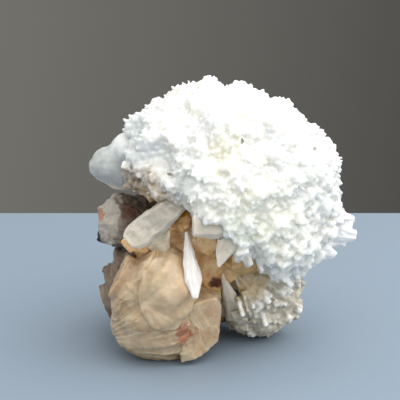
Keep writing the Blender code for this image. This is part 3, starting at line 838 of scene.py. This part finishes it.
white_finish, white_shader = mineral(
    "white_scolecite", WHITE_COOL, WHITE_WARM, 9.0,
    patches=(
        # Painted shade: a cool grey patch darkens the left side of the dome, which faces away from the
        # lights.
        dict(colour=WHITE_LEFT_SHADE, Centre=(-34.0, -8.0, 78.0), Size=(24.0, 24.0, 22.0), Ragged=0.9,
             Ragged_Size=5.0, Soft=0.9, share=0.8),
        dict(colour=CREAM_CENTRE, Centre=(0.0, -29.0, 78.0), Size=(10.0, 10.0, 8.0), Ragged=0.9,
             Ragged_Size=4.0, Soft=0.9, share=0.7),
        # Partly a cream tint of the crystals, partly painted light: a pale cream lifts the shaded lower
        # front of the dome.
        dict(colour=CREAM_AND_LIGHT_LOWER, Centre=(9.0, -33.0, 50.0), Size=(36.0, 20.0, 28.0), Ragged=0.9,
             Ragged_Size=7.0, Soft=0.9, share=0.95),
        # Painted shade: beige-grey on the lower left of the dome, under its overhang.
        dict(colour=BEIGE_LOWER_LEFT_SHADE, Centre=(-28.0, -16.0, 57.0), Size=(20.0, 16.0, 16.0), Ragged=1.2,
             Ragged_Size=4.0, Soft=0.7, share=0.9),
        dict(colour=DARK_SPOTS, Centre=(-31.0, -13.0, 65.0), Size=(6.0, 8.0, 5.0), Ragged=1.8,
             Ragged_Size=1.6, Soft=0.4, share=0.6),
        dict(colour=OLIVE_FLECK, Centre=(5.7, -26.7, 80.1), Size=(0.7, 6.0, 1.0), Ragged=0.8,
             Ragged_Size=0.6, share=0.8),
        dict(colour=GREEN_FLECK, Centre=(31.5, -15.3, 74.8), Size=(1.0, 8.0, 0.8), Ragged=0.8,
             Ragged_Size=0.6, share=0.8),
        dict(colour=BROWN_FLECK, Centre=(-18.3, -21.8, 67.9), Size=(1.2, 2.0, 0.6), Ragged=0.8,
             Ragged_Size=0.6, share=0.8),
    ),
    grain=(), roughness=(0.12, 0.35), facets=((3.0, 0.5), (1.3, 0.6)))
soften(white_shader, 1.0, 4.0, (1.0, 0.96, 0.88))
polish(white_shader, 0.3, 0.08)
white_shader.inputs["IOR"].default_value = SCOLECITE_IOR
blades = crystal_set("blade", 6, (0.5, 0.9), (0.03, 0.12), 6, 11)
long_blades = crystal_set("long_blade", 5, (0.3, 0.55), (0.03, 0.10), 6, 13)
stubs = crystal_set("stub", 5, (0.6, 0.9), (0.02, 0.08), 4, 14)

spray = closed_copy("scolecite_ends", "scolecite_spray")
fine_skin(spray, SPRAY_BASE, 6)
raise_skin(spray, spray_relief)
leave_room(spray, SPRAY_NEIGHBOURS, CLEARANCE, open_notch)
between = bpy.data.objects.new("between", spray.data.copy())
rim = bpy.data.objects.new("rim", spray.data.copy())
blocky = bpy.data.objects.new("blocky", spray.data.copy())
for layer in (between, rim, blocky):
    bpy.context.scene.collection.objects.link(layer)
for layer, wanted in ((rim, lower_rim), (blocky, lower_left)):
    room = layer.data.attributes["room"].data
    places, normals = read_points(layer.data)
    for number, (place, normal) in enumerate(zip(places, normals)):
        room[number].value *= wanted(Vector(place), Vector(normal))
grow_crystals(spray, blades, white_finish, **growth_sizes(
    heart=SPRAY_HEART, spacing=1.8, width=(1.8, 3.8), length=(6.0, 8.0), proud=(-0.2, 1.2), cluster=6.0,
    rise=1.0, lean=0.06, cluster_lean=0.25, seed=21))
grow_crystals(between, blades, white_finish, **growth_sizes(
    heart=SPRAY_HEART, spacing=1.6, width=(1.2, 2.2), length=(5.0, 8.0), proud=(0.3, 2.2), cluster=5.0,
    rise=0.9, lean=0.06, cluster_lean=0.25, seed=24))
grow_crystals(rim, long_blades, white_finish, **growth_sizes(
    heart=RIM_HEART, spacing=2.6, width=(3.0, 6.5), length=(9.0, 12.0), proud=(1.0, 3.4), cluster=8.0,
    rise=1.5, lean=0.05, cluster_lean=0.2, seed=23))
grow_crystals(blocky, stubs, white_finish, **growth_sizes(
    heart=RIM_HEART, spacing=2.6, width=(2.6, 4.6), length=(5.0, 6.0), proud=(0.8, 2.4), cluster=4.0,
    rise=1.2, lean=0.2, cluster_lean=0.8, seed=25))
for layer in (between, rim, blocky):
    merge(spray, layer)
grow_together(spray, SPRAY_VOXEL, SPRAY_FACES)
fit(spray, white_finish, "scolecite_white", "scolecite_spray")


# Scolecite crust
# The grey-white ball at the lower right: blunter scolecite crystals, packed into a crust with pale
# rims, on a base that shows olive-brown in the shade of the spray. It is grown as the spray is.

CRUST_BASE = 0.8
CRUST_LUMPS = ((7.0, 1.2), (3.0, 0.6))
CRUST_SINK = 0.7
CRUST_JOIN = 1.4
CRUST_VOXEL = 0.36
CRUST_FACES = 100000
NEEDLE_ROOM = 2.6
NEEDLE_SINK = 0.8
CRUST_DARK = (0.42, 0.37, 0.28)
CRUST_PALE = (0.56, 0.52, 0.43)
CRUST_RIM = (0.90, 0.895, 0.87)
CRUST_BROWN_SHADE = (0.48, 0.36, 0.20)
CRUST_OLIVE_SHADE = (0.36, 0.24, 0.10)

crust_finish, crust_shader = mineral(
    # In part painted shade: the crust's crystal tips take a near-white rim colour and the hollows between
    # them stay grey.
    "grey_scolecite", CRUST_DARK, CRUST_PALE, 5.0, relief=(CRUST_RIM, 0.7, 2.2, 0.9),
    patches=(
        # Painted shade: brown and olive on the upper left of the crust, where the spray shades it.
        dict(colour=CRUST_BROWN_SHADE, Centre=(9.5, -14.0, 27.0), Size=(11.0, 11.0, 9.0), Ragged=1.1,
             Ragged_Size=3.0, Soft=0.6, share=0.9),
        dict(colour=CRUST_OLIVE_SHADE, Centre=(9.0, -14.0, 33.0), Size=(12.0, 11.0, 5.0), Ragged=1.1,
             Ragged_Size=2.5, Soft=0.6, share=0.85),
    ),
    grain=(), roughness=(0.12, 0.35), facets=((2.6, 0.5), (1.1, 0.5)))
soften(crust_shader, 0.9, 1.6, (1.0, 0.92, 0.8))
polish(crust_shader, 0.4, 0.1)
CRUST_NEIGHBOURS = neighbours("scolecite_crust", "scolecite_needles")
NEEDLES = search_tree(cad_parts["scolecite_needles"])


def crust_relief(place, normal):
    """Low lumps, closed up with the neighbours but sunk around the thin spear in front."""
    sunk = grown_on(NEEDLES, place, NEEDLE_ROOM, NEEDLE_SINK)
    closed = grown_on(CRUST_NEIGHBOURS, place, JOIN_REACH, CRUST_JOIN)
    return lumps(place, CRUST_LUMPS, 5.0) - CRUST_SINK - sunk + closed


def beside_needles(place, normal):
    """Where crystals may grow on the crust: all over, apart from round the thin spear."""
    return 0.0 if NEEDLES.find_nearest(place, NEEDLE_ROOM)[0] is not None else 1.0


def mark_heights(piece, base):
    """Keeps as an attribute how far each point of a piece stands out from its base skin."""
    places, _ = read_points(piece.data)
    heights = []
    for place in places:
        nearest, normal, _, _ = base.find_nearest(Vector(place))
        heights.append((Vector(place) - nearest).dot(normal))
    kept = piece.data.attributes.new("relief", 'FLOAT', 'POINT')
    kept.data.foreach_set("value", heights)


crust = closed_copy("crust_crystals", "scolecite_crust")
fine_skin(crust, CRUST_BASE, 4)
raise_skin(crust, crust_relief)
leave_room(crust, CRUST_NEIGHBOURS, CLEARANCE, beside_needles)
crust_skin = search_tree(crust)
grow_crystals(crust, long_blades, crust_finish, **growth_sizes(
    heart=(4.0, -10.0, 32.0), spacing=1.9, width=(3.2, 6.4), length=(6.0, 8.0), proud=(-0.2, 1.1),
    cluster=6.0, rise=1.3, lean=0.06, cluster_lean=0.3, seed=31))
grow_together(crust, CRUST_VOXEL, CRUST_FACES)
mark_heights(crust, crust_skin)
fit(crust, crust_finish, "scolecite_crust", "scolecite_crust")


# Single scolecite blades
# Flat scolecite crystals that stick out of the spray and the sheaves, each grown on its own: milky,
# cream or white, with fine lines along their length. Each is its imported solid, worn a little uneven.

BLADE_VOXEL = 0.28
PADDLE_TIP = np.array((-32.2, -24.5, 45.2))
PADDLE_LENGTH = 32.9
PADDLE_WAY = np.array((25.7, 11.0, 17.3)) / PADDLE_LENGTH
PADDLE_BELOW = np.array((0.558, 0.0, -0.829))
PADDLE_NARROWS = 1.1
PADDLE_ROOT = 0.35
MILKY_DARK = (0.57, 0.52, 0.43)
MILKY_PALE = (0.65, 0.60, 0.51)
MILKY_LINES = (0.78, 0.77, 0.75)
PADDLE_SHADE = (0.36, 0.34, 0.29)
CREAM_DARK = (0.62, 0.53, 0.38)
CREAM_PALE = (0.80, 0.74, 0.60)
STREAK_DARK = (0.68, 0.62, 0.56)
STREAK_PALE = (0.86, 0.84, 0.83)
BRIGHT_DARK = (0.78, 0.78, 0.79)
BRIGHT_PALE = (0.86, 0.86, 0.86)
SPEAR_WAY = (3.6, -11.0, -19.8)
SINGLE_BLADES = (
    ("wedge_blade", "scolecite_wedge", "milky", "scolecite_milky", (-13.0, -5.5, 0.6), 0.05, 0.2),
    ("spike_blade", "scolecite_spike", "milky", "scolecite_milky", (-5.2, -3.5, -12.4), 0.12, 0.5),
    ("needle_blades", "scolecite_needles", "milky", "scolecite_milky", (-5.8, -8.0, 19.5), 0.12, 0.5),
    ("spear_blade", "scolecite_spear", "streaked", "scolecite_white", SPEAR_WAY, 0.12, 0.5),
    ("splinter_blade", "scolecite_splinter", "cream", "scolecite_cream", (4.5, -2.5, 8.9), 0.12, 0.5),
    ("right_blades", "scolecite_blades_right", "bright", "scolecite_white", (1.0, 0.1, -0.25), 0.3, 0.8),
)
# Three far-off places in the noise, so that the waves along x, y and z differ.
WAVE_SHIFTS = (Vector((17.3, 5.1, 2.7)), Vector((4.9, 31.6, 8.2)), Vector((9.4, 3.8, 53.5)))


def warp(piece, size, depth, seed):
    """Shifts a piece's points about in smooth waves, so that its straight edges run unevenly."""
    places, _ = read_points(piece.data)
    shift = Vector((seed, 2.0 * seed, 0.0))
    waves = [[noise.noise(Vector(place) / size + shift + own) for own in WAVE_SHIFTS]
             for place in places]
    write_points(piece.data, places + depth * np.array(waves))


def blade_piece(name, node, lengthwise, depth, uneven):
    """A single blade: its packed form, worn uneven, with fine growth lines along its length."""
    made = closed_copy(name, node)
    fine_skin(made, BLADE_VOXEL, 1)
    warp(made, 3.5, uneven, len(name))
    warp(made, 1.4, 0.2 * uneven, len(name))
    along = Vector(lengthwise).normalized()

    def relief(place, normal):
        across = place - along * place.dot(along)
        line = noise.noise(across / 0.9 + along * (0.03 * place.dot(along)))
        return depth * line + 0.04 * noise.noise(place / 1.6) - 0.05

    raise_skin(made, relief)
    return made


milky_finish, milky_shader = mineral(
    "milky_scolecite", MILKY_DARK, MILKY_PALE, 6.0, grain=((0.4, 0.02),),
    patches=(dict(colour=PADDLE_SHADE, Centre=(-24.0, -21.0, 50.0), Size=(15.0, 14.0, 13.0), Ragged=0.8,
                  Ragged_Size=5.0, Soft=0.8, share=0.9),),
    relief=(MILKY_LINES, 0.0, 0.15, 0.25), roughness=(0.22, 0.45))
soften(milky_shader, 1.0, 3.0, (1.0, 0.92, 0.85))
polish(milky_shader, 0.4, 0.1)
cream_finish, cream_shader = mineral(
    "cream_scolecite", CREAM_DARK, CREAM_PALE, 3.0, grain=((0.4, 0.03),), roughness=(0.2, 0.4))
soften(cream_shader, 0.6, 1.5, (1.0, 0.9, 0.7))
streaked_finish, streaked_shader = mineral(
    "streaked_scolecite", STREAK_DARK, STREAK_PALE, 1.6, grain=((0.4, 0.03),),
    along=Vector(SPEAR_WAY).normalized(), stretch=8.0, roughness=(0.15, 0.35))
soften(streaked_shader, 0.7, 1.5, (1.0, 0.92, 0.88))
bright_finish, bright_shader = mineral(
    "bright_scolecite", BRIGHT_DARK, BRIGHT_PALE, 4.0, grain=((0.4, 0.03),), roughness=(0.2, 0.4))
soften(bright_shader, 0.5, 1.5, (1.0, 0.95, 0.95))
BLADE_FINISHES = {"milky": milky_finish, "cream": cream_finish, "streaked": streaked_finish,
                  "bright": bright_finish}

paddle = blade_piece("paddle_blade", "scolecite_paddle", (-25.7, -11.0, -17.3), 0.12, 0.5)
places, _ = read_points(paddle.data)
toward_root = np.clip((places - PADDLE_TIP) @ PADDLE_WAY / PADDLE_LENGTH - PADDLE_ROOT, 0.0, 1.0)
below = np.maximum(0.0, (places - PADDLE_TIP) @ PADDLE_BELOW)
write_points(paddle.data, places - np.outer(below * toward_root * PADDLE_NARROWS, PADDLE_BELOW))
fit(paddle, milky_finish, "scolecite_milky", "scolecite_paddle")
for name, node, look, slot, lengthwise, depth, uneven in SINGLE_BLADES:
    fit(blade_piece(name, node, lengthwise, depth, uneven), BLADE_FINISHES[look], slot, node)


# Rounded knob
# A smooth, weathered lump of scolecite at the left edge, grown out of the spray's side: blue-grey,
# with a painted highlight on top and painted warm light on its shaded underside. It is its
# imported solid, rounded, with shallow lumps.

KNOB_VOXEL = 0.4
KNOB_LUMPS = ((6.0, 0.5), (1.5, 0.12))
KNOB_SINK = 0.1
KNOB_DARK = (0.34, 0.36, 0.355)
KNOB_PALE = (0.46, 0.485, 0.475)
KNOB_TOP_HIGHLIGHT = (0.78, 0.80, 0.79)
KNOB_UNDERSIDE_WARM_LIGHT = (0.93, 0.82, 0.64)

knob_finish, knob_shader = mineral(
    "knob_scolecite", KNOB_DARK, KNOB_PALE, 6.0, grain=((0.5, 0.03),),
    # Painted highlight: pale on the top of the knob, where light falls from above.
    patches=(dict(colour=KNOB_TOP_HIGHLIGHT, Centre=(-33.0, -3.0, 76.0), Size=(14.0, 16.0, 8.0), Ragged=0.6,
                  Ragged_Size=4.0, Soft=0.9, share=0.8),
             # Painted warm light: lifts the shaded underside of the knob.
             dict(colour=KNOB_UNDERSIDE_WARM_LIGHT, Centre=(-38.0, -2.0, 56.0), Size=(14.0, 14.0, 9.0), Ragged=0.6,
                  Ragged_Size=4.0, Soft=0.8, share=0.8),),
    roughness=(0.3, 0.55))
soften(knob_shader, 1.0, 4.0, (1.0, 0.95, 0.9))
knob = closed_copy("smooth_knob", "scolecite_knob")
fine_skin(knob, KNOB_VOXEL, 8)
raise_skin(knob, lambda place, normal: lumps(place, KNOB_LUMPS) - KNOB_SINK)
fit(knob, knob_finish, "scolecite_milky", "scolecite_knob")


# Studio
# A plain blue-grey table whose far edge stands against a dark wall with painted shade towards its
# right, two broad soft lights above on the right, one beside and one in front, even light all
# round, and the camera.

TARGET = Vector((-0.0082, -0.0025, 0.054))
CAMERA_DISTANCE = 0.36
CAMERA_ELEVATION = math.radians(14.0)
CAMERA_LENS = 90.0
TABLE_DEPTH = (-1.6, 0.184)
TABLE_WIDTH = 2.4
WALL_DISTANCE = 1.6
WALL_HEIGHTS = (-0.8, 1.4)
TABLE_COLOUR = (0.205, 0.260, 0.323)
WALL_LEFT = (0.106, 0.105, 0.095)
WALL_RIGHT_SHADE = (0.036, 0.034, 0.029)
SHADE_REACH = 0.40
SHEET_ROUGHNESS = 0.6
ROOM_COLOUR = (1.0, 0.99, 0.97)
ROOM_LIGHT = 1.10


def plain_sheet(name, corners, left, right):
    """A flat sheet for the studio, of one plain colour with painted shade that makes it a little darker at
    its right.
    """
    mesh = bpy.data.meshes.new(name)
    mesh.from_pydata(corners, [], [(0, 1, 2, 3)])
    finish = bpy.data.materials.new(name)
    finish.use_nodes = True
    tree = finish.node_tree
    across = add_node(tree, "ShaderNodeSeparateXYZ", {0: object_place(tree)}).outputs[0]
    share = output(add_node(tree, "ShaderNodeMapRange", {"Value": across, "From Min": -SHADE_REACH,
                                                         "From Max": SHADE_REACH}))
    shader = tree.nodes["Principled BSDF"]
    tree.links.new(mix_colours(tree, opaque(left), opaque(right), share), shader.inputs["Base Color"])
    shader.inputs["Roughness"].default_value = SHEET_ROUGHNESS
    mesh.materials.append(finish)
    made = bpy.data.objects.new(name, mesh)
    bpy.context.scene.collection.objects.link(made)


half = 0.5 * TABLE_WIDTH
near, far = TABLE_DEPTH
low, high = WALL_HEIGHTS
plain_sheet("table", ((-half, near, 0.0), (half, near, 0.0), (half, far, 0.0), (-half, far, 0.0)),
            TABLE_COLOUR, TABLE_COLOUR)
# Painted shade: the wall is darker towards its right.
plain_sheet("wall", ((-half, WALL_DISTANCE, low), (half, WALL_DISTANCE, low),
                     (half, WALL_DISTANCE, high), (-half, WALL_DISTANCE, high)), WALL_LEFT, WALL_RIGHT_SHADE)


def soft_light(name, place, size, power, colour):
    """A square area light that faces the specimen."""
    lamp = bpy.data.lights.new(name, 'AREA')
    lamp.shape = 'SQUARE'
    lamp.size = size
    lamp.energy = power
    lamp.color = colour
    made = bpy.data.objects.new(name, lamp)
    made.location = place
    made.rotation_euler = (TARGET - Vector(place)).to_track_quat('-Z', 'Y').to_euler()
    bpy.context.scene.collection.objects.link(made)


soft_light("window", place=(0.36, 0.05, 0.80), size=0.9, power=4.7, colour=(1.0, 1.0, 1.0))
soft_light("room", place=(0.34, -0.40, 0.78), size=1.0, power=5.4, colour=ROOM_COLOUR)
world = bpy.data.worlds.new("room_light")
world.use_nodes = True
world.node_tree.nodes["Background"].inputs["Color"].default_value = opaque(ROOM_COLOUR)
world.node_tree.nodes["Background"].inputs["Strength"].default_value = ROOM_LIGHT
bpy.context.scene.world = world
bpy.context.scene.view_settings.view_transform = 'Standard'

lens = bpy.data.cameras.new("camera")
lens.lens = CAMERA_LENS
lens.sensor_width = 36.0
lens.clip_start = 0.01
camera = bpy.data.objects.new("camera", lens)
camera.location = TARGET + Vector((0.0, -CAMERA_DISTANCE * math.cos(CAMERA_ELEVATION),
                                   CAMERA_DISTANCE * math.sin(CAMERA_ELEVATION)))
camera.rotation_euler = (0.5 * math.pi - CAMERA_ELEVATION, 0.0, 0.0)
bpy.context.scene.collection.objects.link(camera)
bpy.context.scene.camera = camera
